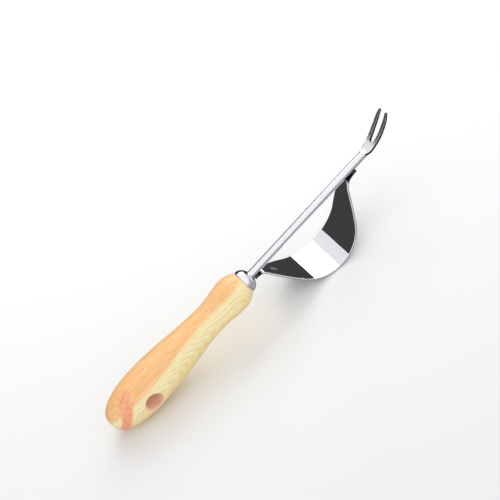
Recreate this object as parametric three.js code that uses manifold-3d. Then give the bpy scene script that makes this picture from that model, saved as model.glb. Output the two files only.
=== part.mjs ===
// A hand weeder: a turned ash handle, a round steel shank forged into a two-pronged fork, and a
// bowed fulcrum plate under the shank that the tool rocks on when the handle is pushed down.
// Millimetres. X runs along the tool from the handle's butt to the prongs, Y is across it, and
// Z is up, so the bow hangs below the shank. The origin is the centre of the flat on the butt.
import * as THREE from 'three';
import { mergeVertices } from 'three/addons/utils/BufferGeometryUtils.js';
import Module from 'manifold-3d';

const wasm = await Module();
wasm.setup();

// ---- Driving dimensions ----

// Handle, turned about the X axis
const BUTT_FACE_RADIUS = 4;
const BUTT_TO_BELLY = 37;
const BELLY_RADIUS = 17.8;
const BELLY_TO_WAIST = 73;
const WAIST_RADIUS = 12.3;
const WAIST_TO_BULGE = 23;
const BULGE_RADIUS = 14.4;
const BULGE_TO_NOSE = 12.7;

// How far each curve of the handle's profile holds its direction, as a share of its own run
const BUTT_FACE_HOLD = 0.44;
const BUTT_BELLY_HOLD = 0.7;
const BELLY_HOLD = 0.45;
const WAIST_REAR_HOLD = 0.34;
const WAIST_FRONT_HOLD = 0.42;
const BULGE_REAR_HOLD = 0.4;
const BULGE_FRONT_HOLD = 0.5;
const NOSE_STEP_HOLD = 0.45;
const NOSE_RUN_HOLD = 0.25;

// Hanging hole, drilled across the handle along Y
const HANGING_HOLE_X = 36;
const HANGING_HOLE_RADIUS = 7.2;
const HANGING_HOLE_EASE = 3.2;
const HANGING_HOLE_EASE_DEPTH = 2.9;

// Ferrule, a domed steel cup pressed over the end of the handle
const FERRULE_RADIUS = 9.8;
const FERRULE_WALL = 1;
const FERRULE_SKIRT = 0.3;
const FERRULE_DOME = 7.6;
const TENON_FACE_RADIUS = 6;

// Shank, with its tang inside the handle
const ROD_RADIUS = 3.175;
const COLLAR_HEIGHT = 0.3;
const COLLAR_LENGTH = 1.6;
const TANG_LENGTH = 64;
const TANG_CHAMFER = 1.2;
const NECK_LENGTH = 12.8;

// Fork, forged flat from the end of the shank, split and bent upwards
const FORK_LENGTH = 31.8;
const FORK_RISE = 15.8;
const FORK_TIP_ANGLE = 40;
const FORK_BASE_REACH = 10.5;
const FORK_TIP_REACH = 12;
const FORK_WIDTH = 12.9;
const FORK_TIP_WIDTH = 9.6;
const FORK_WIDEST_AT = 22;
const PALM_WIDTH = 9.4;
const PALM_FLARE_LENGTH = 4.5;
const PALM_THICKNESS = 3;
const SLOT_START = 9.8;
const SLOT_ROOT_RADIUS = 2.3;
const PRONG_WIDTH = 3.4;
const PRONG_TIP_WIDTH = 1.4;
const PRONG_TIP_THICKNESS = 1.5;
const PRONG_POINT_SHARE = 0.25;
const PRONG_RELIEF = 0.06;
const SECTION_SQUARENESS = 0.3;

// Fulcrum plate, one strip bent into a bow with a tab at each end
const PLATE_THICKNESS = 1.5;
const PLATE_WIDTH = 39;
const TAB_WIDTH = 5.5;
const REAR_TAB_LENGTH = 5.2;
const FRONT_TAB_LENGTH = 7;
const BOW_DROP = 41.8;
const BOW_RADIUS = 34.6;
const FLANK_ANGLE = 57.5;
const REAR_BEND_RADIUS = 3.5;
const FRONT_BEND_RADIUS = 10;
const OUTLINE_FLOW_START = 0.9;

// Weld beads along the tabs
const WELD_LENGTH = 4.4;
const WELD_RADIUS = 1.25;

// Fits
const FIT_GAP = 0.3;
const WELD_GAP = 0.15;
const ROUNDING_ERROR = 1e-6;

// ---- Places worked out from them ----

const BELLY_X = BUTT_TO_BELLY;
const WAIST_X = BELLY_X + BELLY_TO_WAIST;
const BULGE_X = WAIST_X + WAIST_TO_BULGE;
const NOSE_X = BULGE_X + BULGE_TO_NOSE;

const BORE_RADIUS = ROD_RADIUS + FIT_GAP;
const FERRULE_RIM_X = NOSE_X + FIT_GAP;
const FERRULE_DOME_X = FERRULE_RIM_X + FERRULE_SKIRT;
const FERRULE_INNER_RADIUS = FERRULE_RADIUS - FERRULE_WALL;
const TENON_RADIUS = FERRULE_INNER_RADIUS - FIT_GAP;
const TANG_END_X = NOSE_X - TANG_LENGTH;

const TAB_TOP_Z = -(ROD_RADIUS + FIT_GAP);
const TAB_Z = TAB_TOP_Z - PLATE_THICKNESS / 2;
const REAR_TAB_X = ferruleSurfaceX(-TAB_TOP_Z) + FIT_GAP;

const BEND_ANGLE = THREE.MathUtils.degToRad(FLANK_ANGLE);
const BEND_DROP_SHARE = 1 - Math.cos(BEND_ANGLE);
const REAR_FLANK_LENGTH = flankLength(REAR_BEND_RADIUS);
const FRONT_FLANK_LENGTH = flankLength(FRONT_BEND_RADIUS);
const REAR_BEND_X = REAR_TAB_X + REAR_TAB_LENGTH;
const BOW_X = REAR_BEND_X + bowReach(REAR_BEND_RADIUS, REAR_FLANK_LENGTH);
const FRONT_BEND_X = BOW_X + bowReach(FRONT_BEND_RADIUS, FRONT_FLANK_LENGTH);
const FRONT_TAB_X = FRONT_BEND_X + FRONT_TAB_LENGTH;

const FORK_X = FRONT_TAB_X + NECK_LENGTH;

// ---- Fineness ----

const HANDLE_SIDES = 44;
const FERRULE_SIDES = 32;
const ROD_SIDES = 32;
const PRONG_SIDES = 16;
const PRONG_STEPS = 20;
const PALM_STEPS = 10;
const BOW_STEPS = 96;
const WELD_SIDES = 20;
const CURVE_STEPS = 8;

// ---- Helpers ----

// X where the ferrule's dome has the given radius.
function ferruleSurfaceX(radius) {
  return FERRULE_DOME_X + FERRULE_DOME * Math.sqrt(1 - (radius / FERRULE_RADIUS) ** 2);
}

// Straight length of the bow between a tab's bend and the bottom arc.
function flankLength(bendRadius) {
  return (BOW_DROP - (bendRadius + BOW_RADIUS) * BEND_DROP_SHARE) / Math.sin(BEND_ANGLE);
}

// Distance along X from the start of a tab's bend to the middle of the bow.
function bowReach(bendRadius, flank) {
  return (bendRadius + BOW_RADIUS) * Math.sin(BEND_ANGLE) + flank * Math.cos(BEND_ANGLE);
}

// Position-only geometry with shared vertices and no zero-area triangles at a lathe's poles.
function closedGeometry(geometry) {
  const bare = geometry.clone();
  bare.deleteAttribute('normal');
  bare.deleteAttribute('uv');
  const merged = mergeVertices(bare, 1e-4);
  const index = Array.from(merged.index.array);
  const kept = [];
  for (let i = 0; i < index.length; i += 3) {
    const [a, b, c] = index.slice(i, i + 3);
    if (a !== b && b !== c && c !== a) kept.push(a, b, c);
  }
  merged.setIndex(kept);
  return merged;
}

function toSolid(geometry) {
  const closed = closedGeometry(geometry);
  return new wasm.Manifold(new wasm.Mesh({
    numProp: 3,
    vertProperties: Float32Array.from(closed.attributes.position.array),
    triVerts: Uint32Array.from(closed.index.array),
  }));
}

function toGeometry(solid) {
  const mesh = solid.getMesh();
  const geometry = new THREE.BufferGeometry();
  geometry.setAttribute('position', new THREE.BufferAttribute(mesh.vertProperties, 3));
  geometry.setIndex(new THREE.BufferAttribute(mesh.triVerts, 1));
  geometry.computeVertexNormals();
  return geometry;
}

// A body turned about the X axis. The profile's x is the radius and its y is the place along X.
function turnedAboutX(profile, sides) {
  return new THREE.LatheGeometry(profile, sides).rotateZ(-Math.PI / 2);
}

// A quarter of an ellipse from its widest radius down to endRadius, as profile points.
function domeProfile(centre, halfLength, radius, endRadius) {
  const turn = Math.acos(endRadius / radius);
  return new THREE.EllipseCurve(0, centre, radius, halfLength, 0, turn).getPoints(CURVE_STEPS);
}

// Sweeps a rounded-rectangle section along stations, each {centre, up, width, thickness}. The
// cylinder's length becomes the way along, and its sides swap over to keep the faces outward.
function sweptBar(stations, sides) {
  const steps = stations.length - 1;
  const geometry = new THREE.CylinderGeometry(1, 1, 1, sides, steps);
  const position = geometry.attributes.position;
  const across = new THREE.Vector3(0, 1, 0);
  for (let i = 0; i < position.count; i++) {
    const station = stations[Math.round((position.getY(i) + 0.5) * steps)];
    const side = -roundedCorner(position.getX(i)) * station.width / 2;
    const lift = roundedCorner(position.getZ(i)) * station.thickness / 2;
    const point = station.centre.clone()
      .addScaledVector(across, side)
      .addScaledVector(station.up, lift);
    position.setXYZ(i, point.x, point.y, point.z);
  }
  return geometry;
}

// Bends a circle's coordinate outwards, which turns the circle into a rounded rectangle. What
// rounding leaves of a zero stays zero, or the power would make it grow.
function roundedCorner(value) {
  const size = Math.abs(value) < ROUNDING_ERROR ? 0 : Math.abs(value);
  return Math.sign(value) * size ** SECTION_SQUARENESS;
}

function named(name, geometry, material) {
  const mesh = new THREE.Mesh(geometry, material);
  mesh.name = name;
  return mesh;
}

// ---- Handle ----

function handleProfile() {
  const outline = new THREE.Path();
  const noseStep = BULGE_RADIUS - FERRULE_RADIUS;
  outline.moveTo(0, 0);
  outline.lineTo(BUTT_FACE_RADIUS, 0);
  outline.bezierCurveTo(
    BUTT_FACE_RADIUS + BUTT_FACE_HOLD * (BELLY_RADIUS - BUTT_FACE_RADIUS), 0,
    BELLY_RADIUS, BELLY_X - BUTT_BELLY_HOLD * BUTT_TO_BELLY,
    BELLY_RADIUS, BELLY_X,
  );
  outline.bezierCurveTo(
    BELLY_RADIUS, BELLY_X + BELLY_HOLD * BELLY_TO_WAIST,
    WAIST_RADIUS, WAIST_X - WAIST_REAR_HOLD * BELLY_TO_WAIST,
    WAIST_RADIUS, WAIST_X,
  );
  outline.bezierCurveTo(
    WAIST_RADIUS, WAIST_X + WAIST_FRONT_HOLD * WAIST_TO_BULGE,
    BULGE_RADIUS, BULGE_X - BULGE_REAR_HOLD * WAIST_TO_BULGE,
    BULGE_RADIUS, BULGE_X,
  );
  outline.bezierCurveTo(
    BULGE_RADIUS, BULGE_X + BULGE_FRONT_HOLD * BULGE_TO_NOSE,
    FERRULE_RADIUS + NOSE_STEP_HOLD * noseStep, NOSE_X - NOSE_RUN_HOLD * BULGE_TO_NOSE,
    FERRULE_RADIUS, NOSE_X,
  );
  return outline.getPoints(CURVE_STEPS);
}

// The tenon follows the inside of the ferrule, and the tang's bore ends in a drill's cone.
function tenonProfile() {
  const innerDome = FERRULE_DOME - FERRULE_WALL - FIT_GAP;
  const face = domeProfile(FERRULE_DOME_X, innerDome, TENON_RADIUS, TENON_FACE_RADIUS);
  const faceX = face[face.length - 1].y;
  const boreEndX = TANG_END_X - FIT_GAP;
  return [
    new THREE.Vector2(TENON_RADIUS, NOSE_X),
    ...face,
    new THREE.Vector2(BORE_RADIUS, faceX),
    new THREE.Vector2(BORE_RADIUS, boreEndX),
    new THREE.Vector2(0, boreEndX - BORE_RADIUS / 2),
  ];
}

// A drill with a trumpet-shaped end at each side, which eases the rim of the hole.
function hangingHoleCutter() {
  const easeY = BELLY_RADIUS - HANGING_HOLE_EASE_DEPTH;
  const rimRadius = HANGING_HOLE_RADIUS + HANGING_HOLE_EASE;
  const outsideY = BELLY_RADIUS + HANGING_HOLE_EASE;
  const near = new THREE.EllipseCurve(
    rimRadius, -easeY, HANGING_HOLE_EASE, HANGING_HOLE_EASE, 1.5 * Math.PI, Math.PI, true,
  ).getPoints(CURVE_STEPS);
  const far = new THREE.EllipseCurve(
    rimRadius, easeY, HANGING_HOLE_EASE, HANGING_HOLE_EASE, Math.PI, 0.5 * Math.PI, true,
  ).getPoints(CURVE_STEPS);
  const profile = [
    new THREE.Vector2(0, -outsideY),
    new THREE.Vector2(rimRadius, -outsideY),
    ...near,
    ...far,
    new THREE.Vector2(rimRadius, outsideY),
    new THREE.Vector2(0, outsideY),
  ];
  return new THREE.LatheGeometry(profile, FERRULE_SIDES).translate(HANGING_HOLE_X, 0, 0);
}

function makeHandle() {
  const turned = turnedAboutX([...handleProfile(), ...tenonProfile()], HANDLE_SIDES);
  const drilled = toSolid(turned).subtract(toSolid(hangingHoleCutter()));
  const wood = new THREE.MeshStandardMaterial({ color: 0xf2c07e, roughness: 0.42, metalness: 0 });
  return named('handle', toGeometry(drilled), wood);
}

// ---- Ferrule ----

function makeFerrule() {
  const outside = domeProfile(FERRULE_DOME_X, FERRULE_DOME, FERRULE_RADIUS, BORE_RADIUS);
  const innerDome = FERRULE_DOME - FERRULE_WALL;
  const inside = domeProfile(FERRULE_DOME_X, innerDome, FERRULE_INNER_RADIUS, BORE_RADIUS);
  const profile = [
    new THREE.Vector2(FERRULE_RADIUS, FERRULE_RIM_X),
    ...outside,
    ...inside.reverse(),
    new THREE.Vector2(FERRULE_INNER_RADIUS, FERRULE_RIM_X),
    new THREE.Vector2(FERRULE_RADIUS, FERRULE_RIM_X),
  ];
  const steel = new THREE.MeshStandardMaterial({ color: 0xc9cbce, roughness: 0.1, metalness: 1 });
  return named('ferrule', turnedAboutX(profile, FERRULE_SIDES), steel);
}

// ---- Shank with its fork ----

// The rod ends in the low ridge that forging leaves where the fork starts.
function makeRod() {
  const profile = [
    new THREE.Vector2(0, TANG_END_X),
    new THREE.Vector2(ROD_RADIUS - TANG_CHAMFER, TANG_END_X),
    new THREE.Vector2(ROD_RADIUS, TANG_END_X + TANG_CHAMFER),
    new THREE.Vector2(ROD_RADIUS, FORK_X - COLLAR_LENGTH),
    new THREE.Vector2(ROD_RADIUS + COLLAR_HEIGHT, FORK_X - COLLAR_LENGTH / 2),
    new THREE.Vector2(ROD_RADIUS - COLLAR_HEIGHT, FORK_X),
    new THREE.Vector2(0, FORK_X),
  ];
  return turnedAboutX(profile, ROD_SIDES);
}

// The fork's centre line rises from the shank's axis and steepens towards the tips.
function forkCentreLine() {
  const tipAngle = THREE.MathUtils.degToRad(FORK_TIP_ANGLE);
  const start = new THREE.Vector3(FORK_X, 0, 0);
  const tip = new THREE.Vector3(FORK_X + FORK_LENGTH, 0, FORK_RISE);
  const tipReach = new THREE.Vector3(Math.cos(tipAngle), 0, Math.sin(tipAngle));
  return new THREE.CubicBezierCurve3(
    start,
    start.clone().add(new THREE.Vector3(FORK_BASE_REACH, 0, 0)),
    tip.clone().addScaledVector(tipReach, -FORK_TIP_REACH),
    tip,
  );
}

// Half the fork's width at a distance along its centre line: it flares out of the rod, the prongs
// spread, and they close in again as they come to a point.
function forkReach(distance, length) {
  const flare = THREE.MathUtils.smoothstep(distance, 0, PALM_FLARE_LENGTH);
  const spread = THREE.MathUtils.smoothstep(distance, 0, FORK_WIDEST_AT);
  const palm = THREE.MathUtils.lerp(ROD_RADIUS, PALM_WIDTH / 2, flare);
  const wide = THREE.MathUtils.lerp(palm, FORK_WIDTH / 2, spread);
  return THREE.MathUtils.lerp(wide, FORK_TIP_WIDTH / 2, pointShare(distance, length));
}

// How far a prong has come to its point: 0 along most of it, 1 at the tip.
function pointShare(distance, length) {
  const pointLength = PRONG_POINT_SHARE * length;
  return THREE.MathUtils.clamp(1 + (distance - length) / pointLength, 0, 1) ** 2;
}

// The palm reaches from one edge of the fork to the other.
function palmSize(distance, length) {
  return { offset: 0, width: 2 * forkReach(distance, length), relief: 0 };
}

// A prong keeps to one edge of the fork, ground a little below the palm's faces.
function prongSize(side) {
  return (distance, length) => {
    const width = THREE.MathUtils.lerp(PRONG_WIDTH, PRONG_TIP_WIDTH, pointShare(distance, length));
    const reach = forkReach(distance, length) - PRONG_RELIEF;
    return { offset: side * (reach - width / 2), width, relief: PRONG_RELIEF };
  };
}

// Places on the fork's centre line from one distance to another, with the section at each.
function forkStations(line, from, to, steps, sizeAt) {
  const length = line.getLength();
  const stations = [];
  for (let i = 0; i <= steps; i++) {
    const distance = THREE.MathUtils.lerp(from, to, i / steps);
    const share = Math.min(distance / length, 1);
    const along = line.getTangentAt(share);
    const { offset, width, relief } = sizeAt(distance, length);
    stations.push({
      centre: line.getPointAt(share).add(new THREE.Vector3(0, offset, 0)),
      up: new THREE.Vector3(-along.z, 0, along.x),
      width,
      thickness: THREE.MathUtils.lerp(PALM_THICKNESS, PRONG_TIP_THICKNESS, share) - 2 * relief,
    });
  }
  return stations;
}

// The round end of the slot between the prongs, square to the palm.
function slotRootCutter(line) {
  const share = (SLOT_START + SLOT_ROOT_RADIUS) / line.getLength();
  const along = line.getTangentAt(share);
  const centre = line.getPointAt(share);
  const drillLength = 4 * PALM_THICKNESS;
  return new THREE.CylinderGeometry(SLOT_ROOT_RADIUS, SLOT_ROOT_RADIUS, drillLength, ROD_SIDES)
    .rotateX(Math.PI / 2)
    .rotateY(-Math.atan2(along.z, along.x))
    .translate(centre.x, centre.y, centre.z);
}

// The prongs start inside the palm, so the three run into one another.
function makeShank() {
  const line = forkCentreLine();
  const palmEnd = SLOT_START + SLOT_ROOT_RADIUS;
  const prongStart = SLOT_START - SLOT_ROOT_RADIUS;
  const palm = sweptBar(forkStations(line, 0, palmEnd, PALM_STEPS, palmSize), PRONG_SIDES);
  let shank = toSolid(palm).subtract(toSolid(slotRootCutter(line)));
  for (const side of [-1, 1]) {
    const stations = forkStations(line, prongStart, line.getLength(), PRONG_STEPS, prongSize(side));
    shank = shank.add(toSolid(sweptBar(stations, PRONG_SIDES)));
  }
  shank = shank.add(toSolid(makeRod()));
  const steel = new THREE.MeshStandardMaterial({ color: 0xb4b8bc, roughness: 0.28, metalness: 1 });
  return named('shank', toGeometry(shank), steel);
}

// ---- Fulcrum plate ----

// The bow's middle surface seen from the side: tab, bend, flank, arc, flank, bend, tab.
function bowLine() {
  const down = -Math.PI / 2;
  const up = Math.PI / 2;
  const arcZ = TAB_Z - BOW_DROP + BOW_RADIUS;
  const line = new THREE.Path();
  line.moveTo(REAR_TAB_X, TAB_Z);
  line.lineTo(REAR_BEND_X, TAB_Z);
  line.absarc(REAR_BEND_X, TAB_Z - REAR_BEND_RADIUS, REAR_BEND_RADIUS, up, up - BEND_ANGLE, true);
  line.absarc(BOW_X, arcZ, BOW_RADIUS, down - BEND_ANGLE, down + BEND_ANGLE, false);
  line.absarc(
    FRONT_BEND_X, TAB_Z - FRONT_BEND_RADIUS, FRONT_BEND_RADIUS, up + BEND_ANGLE, up, true,
  );
  line.lineTo(FRONT_TAB_X, TAB_Z);
  return line;
}

// The blank's width at a share of the way from the middle of the bow to a tab: a lens-shaped
// outline whose last stretch flows into the tab.
function plateWidth(share) {
  const lens = 1 - share ** 2;
  const lensAtFlow = 1 - OUTLINE_FLOW_START ** 2;
  const flowLength = lensAtFlow / OUTLINE_FLOW_START;
  const left = Math.max(0, 1 - (share - OUTLINE_FLOW_START) / flowLength);
  const fullness = share < OUTLINE_FLOW_START ? lens : lensAtFlow * left ** 2;
  return THREE.MathUtils.lerp(TAB_WIDTH, PLATE_WIDTH, fullness);
}

// Evenly spaced points along the bow, so that the outline's curve stays smooth.
function bowStations() {
  const line = bowLine();
  const length = line.getLength();
  const halfArc = BOW_RADIUS * BEND_ANGLE;
  const rearHalf = halfArc + REAR_FLANK_LENGTH + REAR_BEND_RADIUS * BEND_ANGLE;
  const frontHalf = halfArc + FRONT_FLANK_LENGTH + FRONT_BEND_RADIUS * BEND_ANGLE;
  const middle = REAR_TAB_LENGTH + rearHalf;
  const stations = [];
  for (let i = 0; i <= BOW_STEPS; i++) {
    const point = line.getPointAt(i / BOW_STEPS);
    const along = line.getTangentAt(i / BOW_STEPS);
    const distance = length * (i / BOW_STEPS) - middle;
    const share = distance < 0 ? -distance / rearHalf : distance / frontHalf;
    stations.push({
      centre: new THREE.Vector3(point.x, 0, point.y),
      up: new THREE.Vector3(-along.y, 0, along.x),
      width: plateWidth(share),
      thickness: PLATE_THICKNESS,
    });
  }
  return stations;
}

// A flat strip with square edges that follows the stations.
function sweptStrip(stations) {
  const steps = stations.length - 1;
  const geometry = new THREE.BoxGeometry(1, 1, 1, steps, 1, 1);
  const position = geometry.attributes.position;
  for (let i = 0; i < position.count; i++) {
    const station = stations[Math.round((position.getX(i) + 0.5) * steps)];
    const point = station.centre.clone()
      .addScaledVector(new THREE.Vector3(0, 1, 0), position.getY(i) * station.width)
      .addScaledVector(station.up, position.getZ(i) * station.thickness);
    position.setXYZ(i, point.x, point.y, point.z);
  }
  return geometry;
}

function makeFulcrumPlate() {
  const steel = new THREE.MeshStandardMaterial({ color: 0xd4d6d9, roughness: 0.06, metalness: 1 });
  return named('fulcrum_plate', sweptStrip(bowStations()), steel);
}

// ---- Welds ----

// A short bead in the notch between the rod and one edge of a tab, shaped by both of them.
function makeWeld(name, x, side) {
  const bead = new THREE.SphereGeometry(1, WELD_SIDES, WELD_SIDES)
    .scale(WELD_LENGTH / 2, WELD_RADIUS, WELD_RADIUS)
    .translate(x, side * TAB_WIDTH / 2, TAB_TOP_Z + WELD_RADIUS / 2);
  const rod = new THREE.CylinderGeometry(1, 1, 1, ROD_SIDES)
    .rotateZ(Math.PI / 2)
    .scale(2 * WELD_LENGTH, ROD_RADIUS + WELD_GAP, ROD_RADIUS + WELD_GAP)
    .translate(x, 0, 0);
  const below = new THREE.BoxGeometry(2 * WELD_LENGTH, 2 * TAB_WIDTH, TAB_WIDTH)
    .translate(x, 0, TAB_TOP_Z + WELD_GAP - TAB_WIDTH / 2);
  const solid = toSolid(bead).subtract(toSolid(rod)).subtract(toSolid(below));
  const metal = new THREE.MeshStandardMaterial({ color: 0x3c3d40, roughness: 0.4, metalness: 1 });
  return named(name, toGeometry(solid), metal);
}

// ---- Assembly ----

const group = new THREE.Group();
group.name = 'hand_weeder';
group.add(makeHandle());
group.add(makeFerrule());
group.add(makeShank());
group.add(makeFulcrumPlate());
for (const [sideName, side] of [['left', 1], ['right', -1]]) {
  group.add(makeWeld(`rear_weld_${sideName}`, REAR_TAB_X + WELD_LENGTH / 2, side));
  group.add(makeWeld(`front_weld_${sideName}`, FRONT_TAB_X - WELD_LENGTH / 2, side));
}

export default group;
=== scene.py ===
"""Looks for a hand weeder: turned ash handle, domed ferrule, forged shank and bowed plate.

Metres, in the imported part's own frame: +X from the handle's butt to the prongs, +Z up.
"""

import math

import bmesh
import bpy
import numpy as np
from mathutils import Matrix, Vector


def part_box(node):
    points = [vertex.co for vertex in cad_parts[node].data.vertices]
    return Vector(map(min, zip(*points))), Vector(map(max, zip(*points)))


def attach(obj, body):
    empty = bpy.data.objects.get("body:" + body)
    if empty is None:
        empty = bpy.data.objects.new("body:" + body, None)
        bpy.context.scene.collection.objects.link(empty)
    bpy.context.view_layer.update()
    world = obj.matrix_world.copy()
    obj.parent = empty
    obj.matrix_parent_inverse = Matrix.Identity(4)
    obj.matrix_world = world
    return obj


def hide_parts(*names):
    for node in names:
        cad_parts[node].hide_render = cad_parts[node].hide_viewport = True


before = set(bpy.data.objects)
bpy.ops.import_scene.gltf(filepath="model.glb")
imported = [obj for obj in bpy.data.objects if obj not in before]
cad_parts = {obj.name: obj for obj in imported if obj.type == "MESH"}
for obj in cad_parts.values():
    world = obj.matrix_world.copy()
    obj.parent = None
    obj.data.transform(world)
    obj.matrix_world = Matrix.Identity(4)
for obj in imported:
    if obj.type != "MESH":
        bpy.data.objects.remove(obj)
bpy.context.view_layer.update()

MM = 0.001

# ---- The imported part's places and sizes ----

handle_low, handle_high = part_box("handle")
ferrule_low, ferrule_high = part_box("ferrule")
shank_low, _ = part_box("shank")
plate_low, plate_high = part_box("fulcrum_plate")

BELLY_RADIUS = handle_high.z
TENON_END_X = handle_high.x
FERRULE_RIM_X = ferrule_low.x
FERRULE_RADIUS = ferrule_high.z
ROD_RADIUS = 3.175 * MM
TANG_END_X = shank_low.x
REAR_TAB_X = plate_low.x
FRONT_TAB_X = plate_high.x
FORK_X = FRONT_TAB_X + 12.8 * MM


# ---- Mesh helpers ----

def new_object(name, mesh):
    piece = bpy.data.objects.new(name, mesh)
    bpy.context.scene.collection.objects.link(piece)
    return piece


def mesh_object(name, vertices, faces):
    mesh = bpy.data.meshes.new(name)
    mesh.from_pydata([tuple(v) for v in vertices], [], faces)
    work = bmesh.new()
    work.from_mesh(mesh)
    bmesh.ops.remove_doubles(work, verts=work.verts, dist=1e-7)
    bmesh.ops.recalc_face_normals(work, faces=work.faces)
    work.to_mesh(mesh)
    work.free()
    mesh.validate()
    return new_object(name, mesh)


def lathe(name, profile, sides, closed=False):
    """Turns (x, radius) points about the X axis; a closed profile comes back to its start."""
    vertices, rings = [], []
    for x, radius in profile:
        if radius < 1e-9:
            rings.append([len(vertices)] * sides)
            vertices.append((x, 0, 0))
            continue
        rings.append(list(range(len(vertices), len(vertices) + sides)))
        for k in range(sides):
            turn = 2 * math.pi * k / sides
            vertices.append((x, radius * math.cos(turn), radius * math.sin(turn)))
    if closed:
        rings.append(rings[0])
    faces = []
    for a, b in zip(rings, rings[1:]):
        for k in range(sides):
            m = (k + 1) % sides
            corners = list(dict.fromkeys((a[k], a[m], b[m], b[k])))
            if len(corners) > 2:
                faces.append(corners)
    return mesh_object(name, vertices, faces)


def sweep(name, stations, section):
    """Carries a section along stations (centre, up, width, thickness); section is a loop of
    (across, lift) functions of a station's half width and half thickness."""
    vertices, faces = [], []
    for centre, up, width, thickness in stations:
        for across, lift in section(width / 2, thickness / 2):
            vertices.append(Vector(centre) + Vector((0, across, 0)) + Vector(up) * lift)
    count = len(vertices) // len(stations)
    for i in range(len(stations) - 1):
        for k in range(count):
            m = (k + 1) % count
            a, b = i * count, (i + 1) * count
            faces.append((a + k, a + m, b + m, b + k))
    faces.append(list(range(count))[::-1])
    last = (len(stations) - 1) * count
    faces.append([last + k for k in range(count)])
    return mesh_object(name, vertices, faces)


def boolean(piece, other, operation):
    """Joins or cuts piece with other, applies it and removes other."""
    step = piece.modifiers.new("cut", "BOOLEAN")
    step.object = other
    step.operation = operation
    step.solver = "EXACT"
    bpy.context.view_layer.update()
    made = bpy.data.meshes.new_from_object(piece.evaluated_get(bpy.context.evaluated_depsgraph_get()))
    piece.modifiers.remove(step)
    old = piece.data
    piece.data = made
    bpy.data.meshes.remove(old)
    bpy.data.objects.remove(other)


def smooth(piece, degrees):
    """Smooth shading that keeps the edges sharper than an angle."""
    mesh = piece.data
    mesh.polygons.foreach_set("use_smooth", [True] * len(mesh.polygons))
    mesh.set_sharp_from_angle(angle=math.radians(degrees))
    mesh.update()


def bezier(p0, p1, p2, p3, steps):
    """Points of a cubic curve, without its first."""
    points = []
    for i in range(1, steps + 1):
        t = i / steps
        a, b, c, d = (1 - t) ** 3, 3 * t * (1 - t) ** 2, 3 * t * t * (1 - t), t ** 3
        points.append(tuple(a * w + b * x + c * y + d * z for w, x, y, z in zip(p0, p1, p2, p3)))
    return points


def lerp(a, b, t):
    return a + (b - a) * t


def clamp(value):
    return min(1.0, max(0.0, value))


def smoothstep(value, low, high):
    t = clamp((value - low) / (high - low))
    return t * t * (3 - 2 * t)


# ---- Handle ----

BUTT_FACE = 4 * MM
BELLY_X = 37 * MM
WAIST_X = 110 * MM
WAIST = 12.3 * MM
BULGE_X = 133 * MM
BULGE = 14.4 * MM
NOSE_X = 145.7 * MM
HOLE_X = 36 * MM
HOLE_RADIUS = 7.2 * MM
HOLE_EASE = 3.2 * MM
HOLE_EASE_DEPTH = 2.9 * MM
FINE_STEPS = 30


def handle_profile():
    belly, nose = BELLY_RADIUS, FERRULE_RADIUS
    points = [(0, 0), (0, BUTT_FACE * 0.5), (0, BUTT_FACE)]
    points += bezier(
        (0, BUTT_FACE), (0, BUTT_FACE + 0.44 * (belly - BUTT_FACE)),
        (0.3 * BELLY_X, belly), (BELLY_X, belly), FINE_STEPS)
    run = WAIST_X - BELLY_X
    points += bezier(
        (BELLY_X, belly), (BELLY_X + 0.45 * run, belly),
        (WAIST_X - 0.34 * run, WAIST), (WAIST_X, WAIST), FINE_STEPS)
    run = BULGE_X - WAIST_X
    points += bezier(
        (WAIST_X, WAIST), (WAIST_X + 0.42 * run, WAIST),
        (BULGE_X - 0.4 * run, BULGE), (BULGE_X, BULGE), FINE_STEPS)
    run = NOSE_X - BULGE_X
    points += bezier(
        (BULGE_X, BULGE), (BULGE_X + 0.5 * run, BULGE),
        (NOSE_X - 0.25 * run, nose + 0.45 * (BULGE - nose)), (NOSE_X, nose), FINE_STEPS)
    tenon = nose - 1.3 * MM
    bore = ROD_RADIUS + 0.3 * MM
    points += [(NOSE_X, tenon), (TENON_END_X - 2 * MM, tenon), (TENON_END_X, 6 * MM)]
    points += [(TENON_END_X, bore), (TANG_END_X - 0.3 * MM, bore), (TANG_END_X - 2 * MM, 0)]
    return points


def hole_cutter():
    """A drill along Y that flares out at both ends to ease the rim of the hole."""
    ease_y = BELLY_RADIUS - HOLE_EASE_DEPTH
    rim = HOLE_RADIUS + HOLE_EASE
    outside = BELLY_RADIUS + HOLE_EASE
    profile = [(-outside, 0), (-outside, rim)]
    for k in range(13):
        turn = math.pi / 2 * k / 12
        profile.append((-ease_y - HOLE_EASE * math.cos(turn), rim - HOLE_EASE * math.sin(turn)))
    for k in range(13):
        turn = math.pi / 2 * (12 - k) / 12
        profile.append((ease_y + HOLE_EASE * math.cos(turn), rim - HOLE_EASE * math.sin(turn)))
    profile += [(outside, rim), (outside, 0)]
    cutter = lathe("hole_cutter", profile, 96)
    cutter.data.transform(Matrix.Translation((HOLE_X, 0, 0)) @ Matrix.Rotation(math.pi / 2, 4, "Z"))
    return cutter


def make_handle():
    piece = lathe("handle_wood", handle_profile(), 144)
    boolean(piece, hole_cutter(), "DIFFERENCE")
    smooth(piece, 35)
    return piece


# ---- Ferrule ----

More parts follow.
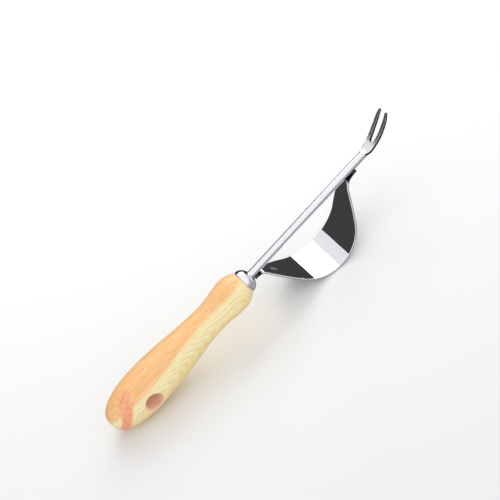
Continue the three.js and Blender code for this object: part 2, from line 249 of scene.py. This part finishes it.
def make_ferrule():
    wall = 1 * MM
    skirt = 0.3 * MM
    dome = 7.6 * MM
    bore = ROD_RADIUS + 0.3 * MM
    dome_x = FERRULE_RIM_X + skirt
    edge = 0.25 * MM
    profile = [
        (FERRULE_RIM_X, FERRULE_RADIUS - edge),
        (FERRULE_RIM_X + edge * 0.3, FERRULE_RADIUS - edge * 0.3),
        (FERRULE_RIM_X + edge, FERRULE_RADIUS),
    ]
    last = math.acos(bore / FERRULE_RADIUS)
    for k in range(41):
        turn = last * k / 40
        profile.append((dome_x + dome * math.sin(turn), FERRULE_RADIUS * math.cos(turn)))
    inner = FERRULE_RADIUS - wall
    last = math.acos(bore / inner)
    for k in range(25):
        turn = last * (24 - k) / 24
        profile.append((dome_x + (dome - wall) * math.sin(turn), inner * math.cos(turn)))
    profile.append((FERRULE_RIM_X, inner))
    piece = lathe("ferrule_cup", profile, 128, closed=True)
    smooth(piece, 40)
    return piece


# ---- Shank and fork ----

FORK_RISE = 15.8 * MM
FORK_RUN = 31.8 * MM
FORK_TIP_ANGLE = math.radians(40)
FORK_START_PULL = 10.5 * MM
FORK_END_PULL = 12 * MM
FORK_STEPS = 400
FORK_WIDTH = 12.9 * MM
FORK_TIP_WIDTH = 9.6 * MM
FORK_WIDEST_AT = 22 * MM
PALM_WIDTH = 9.4 * MM
PALM_FLARE = 4.5 * MM
PALM_THICKNESS = 3 * MM
SLOT_START = 9.8 * MM
SLOT_ROOT = 2.3 * MM
PRONG_WIDTH = 3.4 * MM
PRONG_TIP_WIDTH = 2 * MM
PRONG_TIP_THICKNESS = 1.5 * MM
POINT_SHARE = 0.25
SQUARENESS = 0.3
COLLAR_HEIGHT = 0.3 * MM
COLLAR_LENGTH = 1.6 * MM
RELIEF = 0.06 * MM


def fork_line():
    """Closely spaced points of the fork's centre line with their distances."""
    pull_x = FORK_END_PULL * math.cos(FORK_TIP_ANGLE)
    pull_z = FORK_END_PULL * math.sin(FORK_TIP_ANGLE)
    points = [(FORK_X, 0.0)] + bezier(
        (FORK_X, 0), (FORK_X + FORK_START_PULL, 0),
        (FORK_X + FORK_RUN - pull_x, FORK_RISE - pull_z),
        (FORK_X + FORK_RUN, FORK_RISE), FORK_STEPS)
    distance = [0.0]
    for (ax, az), (bx, bz) in zip(points, points[1:]):
        distance.append(distance[-1] + math.hypot(bx - ax, bz - az))
    return points, distance


def fork_place(points, distance, d):
    """Centre and upward direction at a distance; a negative one runs straight back into the rod."""
    xs = [p[0] for p in points]
    zs = [p[1] for p in points]
    step = distance[-1] / FORK_STEPS
    low = min(max(0.0, d - step), distance[-1] - 2 * step)
    dx = np.interp(low + 2 * step, distance, xs) - np.interp(low, distance, xs)
    dz = np.interp(low + 2 * step, distance, zs) - np.interp(low, distance, zs)
    size = math.hypot(dx, dz)
    centre = (float(np.interp(d, distance, xs)) + min(0.0, d), 0, float(np.interp(d, distance, zs)))
    return centre, (-dz / size, 0, dx / size)


def point_share(d, length):
    return clamp(1 + (d - length) / (POINT_SHARE * length)) ** 2


def fork_reach(d, length):
    flare = smoothstep(d, 0, PALM_FLARE)
    spread = smoothstep(d, 0, FORK_WIDEST_AT)
    wide = lerp(lerp(ROD_RADIUS, PALM_WIDTH / 2, flare), FORK_WIDTH / 2, spread)
    return lerp(wide, FORK_TIP_WIDTH / 2, point_share(d, length))


def fork_stations(start, end, steps, side):
    """Stations of the palm (side 0) or of one prong (side -1 or 1)."""
    points, distance = fork_line()
    length = distance[-1]
    stations = []
    for i in range(steps + 1):
        d = lerp(start, end, i / steps)
        centre, up = fork_place(points, distance, d)
        thickness = lerp(PALM_THICKNESS, PRONG_TIP_THICKNESS, d / length)
        width, offset = 2 * fork_reach(d, length), 0
        if side:
            width = lerp(PRONG_WIDTH, PRONG_TIP_WIDTH, point_share(d, length))
            offset = side * (fork_reach(d, length) - RELIEF - width / 2)
            thickness -= 2 * RELIEF
        stations.append(((centre[0], offset, centre[2]), up, width, thickness))
    return stations


def squared_round(half_width, half_thickness):
    """A rounded rectangle, as a circle whose coordinates are bent outwards."""
    loop = []
    for k in range(48):
        turn = 2 * math.pi * k / 48
        c, s = math.cos(turn), math.sin(turn)
        c, s = (0.0 if abs(value) < 1e-6 else value for value in (c, s))
        loop.append((half_width * math.copysign(abs(c) ** SQUARENESS, c),
                     half_thickness * math.copysign(abs(s) ** SQUARENESS, s)))
    return loop


def make_shank():
    tang = 1.2 * MM
    rod_profile = [(TANG_END_X, 0), (TANG_END_X, ROD_RADIUS - tang), (TANG_END_X + tang, ROD_RADIUS)]
    reach = FORK_X - COLLAR_LENGTH - (TANG_END_X + tang)
    rod_profile += [(TANG_END_X + tang + reach * k / 60, ROD_RADIUS) for k in range(1, 61)]
    for k in range(1, 13):
        share = k / 12
        lift = COLLAR_HEIGHT * (0.4 * math.sin(math.pi * share) ** 2 - 0.5 * smoothstep(share, 0.7, 1))
        rod_profile.append((FORK_X - COLLAR_LENGTH * (1 - share), ROD_RADIUS + lift))
    rod_profile.append((FORK_X, 0))
    piece = lathe("shank_forged", rod_profile, 96)
    palm_end = SLOT_START + SLOT_ROOT
    palm = sweep("palm", fork_stations(-0.3 * MM, palm_end, 40, 0), squared_round)
    points, distance = fork_line()
    centre, up = fork_place(points, distance, palm_end)
    drill = lathe("drill", [(-6 * MM, 0), (-6 * MM, SLOT_ROOT), (6 * MM, SLOT_ROOT), (6 * MM, 0)], 64)
    lean = Vector((1, 0, 0)).rotation_difference(Vector(up)).to_matrix().to_4x4()
    drill.data.transform(Matrix.Translation(centre) @ lean)
    boolean(palm, drill, "DIFFERENCE")
    boolean(piece, palm, "UNION")
    for side in (-1, 1):
        prong = sweep("prong", fork_stations(SLOT_START - SLOT_ROOT, distance[-1], 90, side), squared_round)
        boolean(piece, prong, "UNION")
    smooth(piece, 38)
    return piece


# ---- Fulcrum plate ----

PLATE_THICKNESS = 1.5 * MM
PLATE_WIDTH = plate_high.y - plate_low.y
TAB_WIDTH = 5.5 * MM
REAR_TAB = 5.2 * MM
FRONT_TAB = 7 * MM
TAB_Z = plate_high.z - PLATE_THICKNESS / 2
BOW_DROP = plate_high.z - plate_low.z - PLATE_THICKNESS
BOW_RADIUS = 34.6 * MM
FLANK = math.radians(57.5)
REAR_BEND = 3.5 * MM
FRONT_BEND = 10 * MM
FLOW_START = 0.9


def flank_length(bend):
    return (BOW_DROP - (bend + BOW_RADIUS) * (1 - math.cos(FLANK))) / math.sin(FLANK)


def bow_runs():
    """The bow as (length, angle at its start, angle at its end) runs, angles down from +X."""
    return [
        (REAR_TAB, 0, 0),
        (REAR_BEND * FLANK, 0, FLANK),
        (flank_length(REAR_BEND), FLANK, FLANK),
        (2 * BOW_RADIUS * FLANK, FLANK, -FLANK),
        (flank_length(FRONT_BEND), -FLANK, -FLANK),
        (FRONT_BEND * FLANK, -FLANK, 0),
        (FRONT_TAB, 0, 0),
    ]


def plate_width(share):
    lens = 1 - share ** 2
    at_flow = 1 - FLOW_START ** 2
    left = max(0, 1 - (share - FLOW_START) / (at_flow / FLOW_START))
    return lerp(TAB_WIDTH, PLATE_WIDTH, lens if share < FLOW_START else at_flow * left ** 2)


def bow_stations(spacing):
    runs = bow_runs()
    rear_half = runs[1][0] + runs[2][0] + runs[3][0] / 2
    front_half = runs[5][0] + runs[4][0] + runs[3][0] / 2
    middle = REAR_TAB + rear_half
    x, z, gone = REAR_TAB_X, TAB_Z, 0.0
    stations = []
    for length, start, end in runs:
        steps = max(2, round(length / spacing))
        for i in range(steps + 1):
            angle = lerp(start, end, i / steps)
            if i:
                half = lerp(start, end, (i - 0.5) / steps)
                x += length / steps * math.cos(half)
                z -= length / steps * math.sin(half)
                gone += length / steps
            if i or not stations:
                d = gone - middle
                share = -d / rear_half if d < 0 else d / front_half
                stations.append(((x, 0, z), (math.sin(angle), 0, math.cos(angle)),
                                 plate_width(share), PLATE_THICKNESS))
    return stations


def plate_section(half_width, half_thickness):
    """A flat strip with rounded edges, and close loops that keep its faces flat to the edge."""
    edge = 0.35 * MM
    loop = []
    for sy, sz in ((1, 1), (-1, 1), (-1, -1), (1, -1)):
        corner = []
        for k in range(5):
            turn = math.pi / 2 * k / 4
            corner.append((sy * (half_width - edge + edge * math.cos(turn)),
                           sz * (half_thickness - edge + edge * math.sin(turn))))
        corner.append((sy * (half_width - 1.3 * edge), sz * half_thickness))
        loop += corner if sy == sz else corner[::-1]
    for at, sz in ((6, 1), (19, -1)):
        inside = [(sz * w * (half_width - 1.3 * edge), sz * half_thickness)
                  for w in (0.66, 0.33, 0, -0.33, -0.66)]
        loop[at:at] = inside
    return loop


def make_plate():
    piece = sweep("plate_bow", bow_stations(0.5 * MM), plate_section)
    smooth(piece, 50)
    return piece


# ---- Weld beads ----

def make_weld(node):
    """A bead with the ripples of its laying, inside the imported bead's own box."""
    low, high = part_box(node)
    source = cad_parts[node]
    mesh = source.data.copy()
    mesh.name = node + "_bead"
    mesh.materials.clear()
    piece = new_object(node + "_bead", mesh)
    work = bmesh.new()
    work.from_mesh(mesh)
    bmesh.ops.remove_doubles(work, verts=work.verts, dist=1e-6)
    bmesh.ops.subdivide_edges(work, edges=work.edges, cuts=1, use_grid_fill=True)
    middle = (low + high) / 2
    for vertex in work.verts:
        wave = 0.5 - 0.5 * math.cos((vertex.co.x - middle.x) * 2 * math.pi / (0.7 * MM))
        vertex.co = vertex.co.lerp(middle, 0.07 * wave)
    work.to_mesh(mesh)
    work.free()
    smooth(piece, 50)
    return piece


# ---- Materials ----

class Nodes:
    """Short ways to add and join shader nodes."""

    def __init__(self, tree):
        self.tree = tree

    def add(self, kind, **settings):
        node = self.tree.nodes.new(kind)
        for key, value in settings.items():
            setattr(node, key, value)
        return node

    def link(self, source, target):
        self.tree.links.new(source, target)

    def feed(self, socket, value):
        if isinstance(value, bpy.types.NodeSocket):
            self.link(value, socket)
        else:
            socket.default_value = value

    def math(self, operation, a, b=0.0, c=0.0, clamped=False):
        node = self.add("ShaderNodeMath", operation=operation, use_clamp=clamped)
        for socket, value in zip(node.inputs, (a, b, c)):
            self.feed(socket, value)
        return node.outputs[0]

    def step(self, value, low, high):
        """0 below low, 1 above high, smooth between."""
        node = self.add("ShaderNodeMapRange", interpolation_type="SMOOTHSTEP")
        self.feed(node.inputs["Value"], value)
        node.inputs["From Min"].default_value = low
        node.inputs["From Max"].default_value = high
        return node.outputs["Result"]

    def band(self, value, low, high, soft):
        rise = self.step(value, low - soft, low + soft)
        fall = self.step(value, high - soft, high + soft)
        return self.math("SUBTRACT", rise, fall, clamped=True)

    def blend(self, factor, a, b):
        """Numbers or outputs: a where factor is 0, b where it is 1."""
        node = self.add("ShaderNodeMix", data_type="FLOAT")
        self.feed(node.inputs[0], factor)
        self.feed(node.inputs[2], a)
        self.feed(node.inputs[3], b)
        return node.outputs[0]

    def colour(self, factor, a, b):
        """Colours or outputs: a where factor is 0, b where it is 1."""
        node = self.add("ShaderNodeMix", data_type="RGBA")
        self.feed(node.inputs[0], factor)
        self.feed(node.inputs[6], a)
        self.feed(node.inputs[7], b)
        return node.outputs[2]

    def position(self):
        return self.add("ShaderNodeTexCoord").outputs["Object"]

    def split(self, vector):
        node = self.add("ShaderNodeSeparateXYZ")
        self.link(vector, node.inputs[0])
        return node.outputs

    def join(self, x, y, z):
        node = self.add("ShaderNodeCombineXYZ")
        for socket, value in zip(node.inputs, (x, y, z)):
            self.feed(socket, value)
        return node.outputs[0]

    def noise(self, vector, scale, detail=2.0, roughness=0.5):
        node = self.add("ShaderNodeTexNoise")
        self.link(vector, node.inputs["Vector"])
        node.inputs["Scale"].default_value = scale
        node.inputs["Detail"].default_value = detail
        node.inputs["Roughness"].default_value = roughness
        return node.outputs["Fac"]

    def bump(self, height, strength, distance, normal=None):
        node = self.add("ShaderNodeBump")
        node.inputs["Strength"].default_value = strength
        node.inputs["Distance"].default_value = distance
        self.link(height, node.inputs["Height"])
        if normal is not None:
            self.link(normal, node.inputs["Normal"])
        return node.outputs[0]


def new_material(name):
    material = bpy.data.materials.new(name)
    material.use_nodes = True
    tree = material.node_tree
    shader = next(n for n in tree.nodes if n.type == "BSDF_PRINCIPLED")
    return material, Nodes(tree), shader


def srgb(red, green, blue):
    """A colour given in screen values from 0 to 255."""
    def linear(value):
        value /= 255
        return value / 12.92 if value <= 0.04045 else ((value + 0.055) / 1.055) ** 2.4
    return (linear(red), linear(green), linear(blue), 1.0)


RING_PITCH = 1.75 * MM
PITH_Y = -30 * MM
PITH_Z = 3.3 * MM
PITH_TILT = 0.115


def wood_material():
    material, n, shader = new_material("ash")
    x, y, z = n.split(n.position())

    # growth rings about a pith beside the handle, further from the axis towards the nose
    slow = n.noise(n.join(n.math("MULTIPLY", x, 0.22), y, z), 55, 2)
    fast = n.noise(n.join(n.math("MULTIPLY", x, 0.10), y, z), 420, 2)
    warp = n.math("ADD", n.math("MULTIPLY", n.math("SUBTRACT", slow, 0.5), 2.6 * MM),
                  n.math("MULTIPLY", n.math("SUBTRACT", fast, 0.5), 0.9 * MM))
    from_y = n.math("SUBTRACT", n.math("ADD", y, n.math("MULTIPLY", x, PITH_TILT)), PITH_Y)
    from_z = n.math("SUBTRACT", z, PITH_Z)
    squared = n.math("ADD", n.math("MULTIPLY", from_y, from_y), n.math("MULTIPLY", from_z, from_z))
    radius = n.math("ADD", n.math("SQRT", squared), warp)
    phase = n.math("FRACT", n.math("DIVIDE", radius, RING_PITCH))
    early = n.math("SUBTRACT", 1.0, n.step(phase, 0.05, 0.70))
    edge = n.step(phase, 0.88, 1.0)
    ring = n.math("MAXIMUM", early, edge)

    # open pores: short dark dashes along the grain, most of them in the early wood
    dash = n.noise(n.join(n.math("MULTIPLY", x, 0.06), y, z), 2100, 2, 0.6)
    pores = n.math("MULTIPLY", n.step(dash, 0.52, 0.66), n.blend(ring, 0.3, 1.0))
    fibre = n.noise(n.join(n.math("MULTIPLY", x, 0.03), y, z), 1100, 3, 0.6)

    # painted light and shade around the handle: a warm tone above, a painted pale sheen strip facing front
    # and a painted lighter honey tone below
    side = n.math("ADD", n.math("MULTIPLY", y, -0.35), n.math("MULTIPLY", z, -0.94))
    patch = n.noise(n.join(n.math("MULTIPLY", x, 0.3), y, z), 60, 1)
    side = n.math("ADD", side, n.math("MULTIPLY", n.math("SUBTRACT", patch, 0.5), 5 * MM))
    side = n.math("ADD", side, n.math("MULTIPLY", n.step(x, 30 * MM, 95 * MM), 2.5 * MM))
    warm = n.colour(ring, srgb(253, 203, 132), srgb(246, 166, 94))
    painted_sheen_cream = n.colour(ring, srgb(254, 243, 192), srgb(251, 228, 165))
    painted_underlight_honey = n.colour(ring, srgb(253, 229, 160), srgb(251, 213, 136))
    colour = n.colour(n.step(side, -6.5 * MM, -1.5 * MM), warm, painted_sheen_cream)
    colour = n.colour(n.step(side, 1 * MM, 12 * MM), colour, painted_underlight_honey)

    # a painted salmon shade band across the butt, on the near side only, and painted light inside the
    # hanging hole
    streak_at = n.math("SUBTRACT", x, n.math("MULTIPLY", z, 0.94))
    painted_shade_streak = n.band(streak_at, 2.8 * MM, 12.6 * MM, 2.2 * MM)
    near = n.math("SUBTRACT", 1.0, n.step(y, -8 * MM, 2 * MM))
    painted_shade_streak = n.math("MULTIPLY", painted_shade_streak, near)
    inside_x = n.math("SUBTRACT", x, HOLE_X)
    from_hole = n.math("SQRT", n.math(
        "ADD", n.math("MULTIPLY", inside_x, inside_x), n.math("MULTIPLY", z, z)))
    painted_hole_light = n.math("SUBTRACT", 1.0, n.step(from_hole, HOLE_RADIUS + 0.4 * MM, HOLE_RADIUS + 1.3 * MM))
    # painted shade: the salmon band across the butt, on the near side only
    colour = n.colour(n.math("MULTIPLY", painted_shade_streak, 0.95), colour, srgb(250, 150, 106))

    # pores and fibres darken a little
    colour = n.colour(n.math("MULTIPLY", pores, 0.38), colour, srgb(222, 146, 82))
    colour = n.colour(n.math("MULTIPLY", n.step(fibre, 0.38, 0.68), 0.32), colour, srgb(255, 243, 212))
    # painted light: the inside of the hanging hole is lightened against the shade it lies in
    colour = n.colour(n.math("MULTIPLY", painted_hole_light, 0.97), colour, srgb(255, 216, 190))
    n.link(colour, shader.inputs["Base Color"])

    n.link(n.math("ADD", 0.40, n.math("MULTIPLY", pores, 0.25)), shader.inputs["Roughness"])
    shader.inputs["Coat Weight"].default_value = 0.2
    shader.inputs["Coat Roughness"].default_value = 0.28
    shader.inputs["IOR"].default_value = 1.42
    low = n.math("ADD", pores, n.math("MULTIPLY", ring, 0.3))
    height = n.math("SUBTRACT", n.math("MULTIPLY", fibre, 0.35), low)
    n.link(n.bump(height, 0.35, 0.10 * MM), shader.inputs["Normal"])
    return material


DIMPLE = Vector((168, 4.5, -15.5)) * MM
DIMPLE_RADIUS = 8 * MM
DIMPLE_DEPTH = 1.1 * MM


def chrome_material(name, colour, wave, roughness, dimple=None):
    """Polished plate with slow waves in the metal, faint polishing lines and a few scuffs; with a dimple,
    also a dent and painted dark shade on the tabs.
    """
    material, n, shader = new_material(name)
    place = n.position()
    x, y, z = n.split(place)
    slow = n.noise(n.join(x, n.math("MULTIPLY", y, 0.25), z), 75, 2)
    lines = n.noise(n.join(x, n.math("MULTIPLY", y, 0.03), z), 2400, 3, 0.65)
    scuff = n.step(n.noise(place, 260, 5, 0.7), 0.60, 0.78)
    smear = n.step(n.noise(n.join(x, n.math("MULTIPLY", y, 0.12), z), 240, 3, 0.6), 0.52, 0.72)
    scuff = n.math("MAXIMUM", scuff, smear)
    shader.inputs["Metallic"].default_value = 1.0
    tint = n.colour(n.math("MULTIPLY", scuff, 0.12), colour, srgb(196, 198, 203))
    if dimple:
        # painted shade: the plate's tabs by the welds are coloured dark
        rear = n.math("SUBTRACT", 1.0, n.step(x, REAR_TAB_X + 5.8 * MM, REAR_TAB_X + 6.8 * MM))
        front = n.step(x, FRONT_TAB_X - 12 * MM, FRONT_TAB_X - 10 * MM)
        painted_tab_shade = n.math("MAXIMUM", rear, front)
        tint = n.colour(painted_tab_shade, tint, srgb(52, 52, 56))
    n.link(tint, shader.inputs["Base Color"])
    n.link(n.math("ADD", roughness, n.math("ADD", n.math("MULTIPLY", scuff, 0.05), n.math(
        "MULTIPLY", lines, 0.03))), shader.inputs["Roughness"])
    normal = n.bump(slow, wave, 1.2 * MM)
    if dimple:
        away = n.add("ShaderNodeVectorMath", operation="DISTANCE")
        n.link(place, away.inputs[0])
        away.inputs[1].default_value = dimple
        share = n.math("MINIMUM", 1.0, n.math("DIVIDE", away.outputs["Value"], DIMPLE_RADIUS))
        ring = n.math("COSINE", n.math("MULTIPLY", share, math.pi))
        normal = n.bump(ring, 1.0, DIMPLE_DEPTH / 2, normal)
    n.link(n.bump(lines, 0.04, 0.05 * MM, normal), shader.inputs["Normal"])
    return material


# painted shade colour for the fork's side walls
PAINTED_WALL_SHADE = srgb(62, 62, 65)


def shank_material():
    """Satin along the rod, drawn out by lengthwise polishing, and ground on the prongs, whose steel is
    coloured darker as a painted dark reflection.
    """
    material, n, shader = new_material("satin_steel")
    place = n.position()
    x, y, z = n.split(place)
    on_prongs = n.step(x, FORK_X + 7.5 * MM, FORK_X + 14 * MM)
    turn = n.math("ARCTAN2", y, z)
    around = n.math("MULTIPLY", turn, ROD_RADIUS)
    drawn = n.noise(n.join(n.math("MULTIPLY", x, 0.02), around, 0.0), 2600, 3, 0.6)
    ground = n.noise(n.join(n.math("MULTIPLY", x, 0.12), y, n.math("MULTIPLY", z, 0.12)), 3000, 3, 0.7)
    marks = n.noise(place, 420, 4, 0.6)
    lines = n.blend(on_prongs, drawn, ground)
    rod = n.colour(drawn, srgb(232, 234, 240), srgb(250, 251, 255))
    # painted reflection: the prongs' steel is coloured darker for the dark room they reflect
    prong = n.colour(n.step(ground, 0.35, 0.65), srgb(132, 132, 136), srgb(208, 208, 212))
    steel = n.colour(on_prongs, rod, prong)

    # painted highlight: white glints on the ridge where the fork starts and on the rim of the slot's round
    # end
    ridge_glint = n.band(x, FORK_X - 1.25 * MM, FORK_X - 0.35 * MM, 0.2 * MM)
    from_root = n.join(n.math("SUBTRACT", x, FORK_X + SLOT_START + SLOT_ROOT - 0.6 * MM), y, 0.0)
    root_length = n.add("ShaderNodeVectorMath", operation="LENGTH")
    n.link(from_root, root_length.inputs[0])
    rim = n.band(root_length.outputs["Value"], SLOT_ROOT - 0.4 * MM, SLOT_ROOT + 1.1 * MM, 0.4 * MM)
    rim = n.math("MULTIPLY", rim, n.math("SUBTRACT", 1.0, n.step(x, FORK_X + 9 * MM, FORK_X + 11 * MM)))
    painted_glint = n.math("MAXIMUM", ridge_glint, rim)

    # painted shade: a dark colour on the side walls of the palm and prongs, both sides alike
    facing = n.split(n.add("ShaderNodeNewGeometry").outputs["Normal"])
    wall = n.math("MULTIPLY", n.step(n.math("ABSOLUTE", facing[1]), 0.55, 0.80),
                  n.step(x, FORK_X - 1.5 * MM, FORK_X))
    steel = n.colour(wall, steel, PAINTED_WALL_SHADE)
    # painted highlight: the glint masks turn the steel white
    n.link(n.colour(painted_glint, steel, (1.0, 1.0, 1.0, 1.0)), shader.inputs["Base Color"])
    shader.inputs["Metallic"].default_value = 1.0
    rough = n.math("ADD", n.blend(on_prongs, 0.14, 0.30), n.math("MULTIPLY", marks, 0.10))
    rough = n.math("ADD", rough, n.math("MULTIPLY", painted_glint, 0.25))
    n.link(rough, shader.inputs["Roughness"])
    n.link(n.bump(lines, 0.22, 0.05 * MM), shader.inputs["Normal"])
    return material


def weld_material():
    material, n, shader = new_material("weld_metal")
    place = n.position()
    grain = n.noise(place, 1500, 4, 0.6)
    tone = n.colour(n.step(grain, 0.4, 0.7), srgb(34, 34, 38), srgb(110, 112, 118))
    n.link(tone, shader.inputs["Base Color"])
    shader.inputs["Metallic"].default_value = 1.0
    n.link(n.math("ADD", 0.28, n.math("MULTIPLY", grain, 0.3)), shader.inputs["Roughness"])
    n.link(n.bump(grain, 0.4, 0.1 * MM), shader.inputs["Normal"])
    return material


def wear(piece, material, node):
    piece.data.materials.clear()
    piece.data.materials.append(material)
    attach(piece, "root")
    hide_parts(node)


wear(make_handle(), wood_material(), "handle")
ferrule_chrome = chrome_material("ferrule_chrome", srgb(244, 245, 248), 0.02, 0.05)
wear(make_ferrule(), ferrule_chrome, "ferrule")
wear(make_shank(), shank_material(), "shank")
plate_chrome = chrome_material("plate_chrome", srgb(244, 246, 250), 0.05, 0.02, DIMPLE)
wear(make_plate(), plate_chrome, "fulcrum_plate")
weld_metal = weld_material()
for weld_node in ("rear_weld_left", "rear_weld_right", "front_weld_left", "front_weld_right"):
    wear(make_weld(weld_node), weld_metal, weld_node)


# ---- Floor, light and camera ----

def resting_plane():
    """Slope of the floor under the tool and its distance below the origin."""
    points = [(x, -radius) for x, radius in handle_profile() if x < WAIST_X]
    points += [(centre[0] - up[0] * PLATE_THICKNESS / 2, centre[2] - up[2] * PLATE_THICKNESS / 2)
               for centre, up, _, _ in bow_stations(0.5 * MM)]
    middle = lerp(REAR_TAB_X, FRONT_TAB_X, 0.25)

    def depth(slope, under_bow):
        return max(-(x * math.sin(slope) + z * math.cos(slope)) for x, z in points
                   if (x > middle) == under_bow)

    low, high = 0.0, math.radians(20)
    for _ in range(40):
        slope = (low + high) / 2
        if depth(slope, True) > depth(slope, False):
            low = slope
        else:
            high = slope
    return slope, depth(slope, True)


FLOOR_HALF = 3.0
FLOOR_CELLS = 12
FLOOR_GAP = 0.2 * MM
FLOOR_ALBEDO = 0.86


def make_floor():
    """A pale floor that the tool lies on, touching the bow and the belly of the handle."""
    slope, drop = resting_plane()
    normal = Vector((math.sin(slope), 0, math.cos(slope)))
    lowest = -drop - FLOOR_GAP
    half, cells = FLOOR_HALF, FLOOR_CELLS
    vertices, faces = [], []
    across = Vector((0, 1, 0))
    along = across.cross(normal)
    for i in range(cells + 1):
        for j in range(cells + 1):
            vertices.append(normal * lowest + along * lerp(-half, half, i / cells)
                            + across * lerp(-half, half, j / cells))
    for i in range(cells):
        for j in range(cells):
            a = i * (cells + 1) + j
            faces.append((a, a + cells + 1, a + cells + 2, a + 1))
    floor = mesh_object("floor", vertices, faces)
    if floor.data.polygons[0].normal.dot(normal) < 0:
        floor.data.flip_normals()
    material, _, shader = new_material("floor_paper")
    shader.inputs["Base Color"].default_value = (FLOOR_ALBEDO, FLOOR_ALBEDO, FLOOR_ALBEDO, 1)
    shader.inputs["Roughness"].default_value = 1.0
    shader.inputs["Specular IOR Level"].default_value = 0.0
    floor.data.materials.append(material)
    floor.visible_glossy = False


# Radiances: the dome overhead, the dome below the horizon and the dark room behind.
DOME_LEVEL = 1.25
LOW_LEVEL = 0.45
BACK_LEVEL = 0.06
SOFTBOX_DISTANCE = 1.2
LIGHT_CENTRE = Vector((0.2, 0, -0.02))


def make_world():
    """A soft white dome in front and overhead that fades to a dark room behind, for every ray alike."""
    world = bpy.data.worlds.new("studio")
    bpy.context.scene.world = world
    world.use_nodes = True
    world.node_tree.nodes.clear()
    n = Nodes(world.node_tree)
    _, y, z = n.split(n.add("ShaderNodeTexCoord").outputs["Generated"])
    dome = n.blend(n.step(z, -0.4, 0.5), LOW_LEVEL, DOME_LEVEL)
    background = n.add("ShaderNodeBackground")
    n.link(n.blend(n.step(y, 0.25, 0.60), dome, BACK_LEVEL), background.inputs["Strength"])
    n.link(background.outputs[0], n.add("ShaderNodeOutputWorld").inputs["Surface"])


def make_softbox(name, direction, width, height, level):
    """A plain rectangular softbox that faces the tool and lights everything."""
    direction = Vector(direction).normalized()
    across = Vector((direction.z, 0, -direction.x)).normalized()
    light = bpy.data.lights.new(name, "AREA")
    light.shape = "RECTANGLE"
    light.size = width
    light.size_y = height
    light.energy = level * math.pi * width * height
    lamp = bpy.data.objects.new(name, light)
    bpy.context.scene.collection.objects.link(lamp)
    turn = Matrix((across, direction.cross(across), direction)).transposed().to_4x4()
    lamp.matrix_world = Matrix.Translation(LIGHT_CENTRE + direction * SOFTBOX_DISTANCE) @ turn
    lamp.visible_camera = False


VIEW_RISE = math.radians(46)
VIEW_TURN = math.radians(1.2)
PICTURE_TURN = math.radians(47.1)
VIEW_DISTANCE = 1.0
VIEW_MIDDLE_X = 166.6 * MM
VIEW_MIDDLE_RISE = 13.05 * MM
LENS = 96.0
SENSOR = 36.0


def make_camera():
    """Looks down on the tool from its near side; the tool runs up to the right."""
    back = Vector((math.sin(VIEW_TURN), -math.cos(VIEW_RISE) * math.cos(VIEW_TURN),
                   math.sin(VIEW_RISE) * math.cos(VIEW_TURN)))
    along = Vector((math.cos(VIEW_TURN), math.cos(VIEW_RISE) * math.sin(VIEW_TURN),
                    -math.sin(VIEW_RISE) * math.sin(VIEW_TURN)))
    below = Vector((0, -math.sin(VIEW_RISE), -math.cos(VIEW_RISE)))
    right = along * math.cos(PICTURE_TURN) + below * math.sin(PICTURE_TURN)
    down = below * math.cos(PICTURE_TURN) - along * math.sin(PICTURE_TURN)
    middle = Vector((VIEW_MIDDLE_X, 0, 0)) - below * VIEW_MIDDLE_RISE
    camera_data = bpy.data.cameras.new("camera")
    camera_data.sensor_width = SENSOR
    camera_data.lens = LENS
    camera_data.clip_start = 0.01
    camera = bpy.data.objects.new("camera", camera_data)
    bpy.context.scene.collection.objects.link(camera)
    turn = Matrix((right, -down, back)).transposed().to_4x4()
    camera.matrix_world = Matrix.Translation(middle + back * VIEW_DISTANCE) @ turn
    bpy.context.scene.camera = camera


make_floor()
make_world()
make_softbox("back_softbox", (0.532, 0.67, 0.514), 1.2, 0.8, 3.2)
make_softbox("top_softbox", (-0.12, 0.67, 0.73), 0.6, 0.8, 0.8)
make_camera()
bpy.context.scene.view_settings.view_transform = "Standard"

bpy.context.view_layer.update()
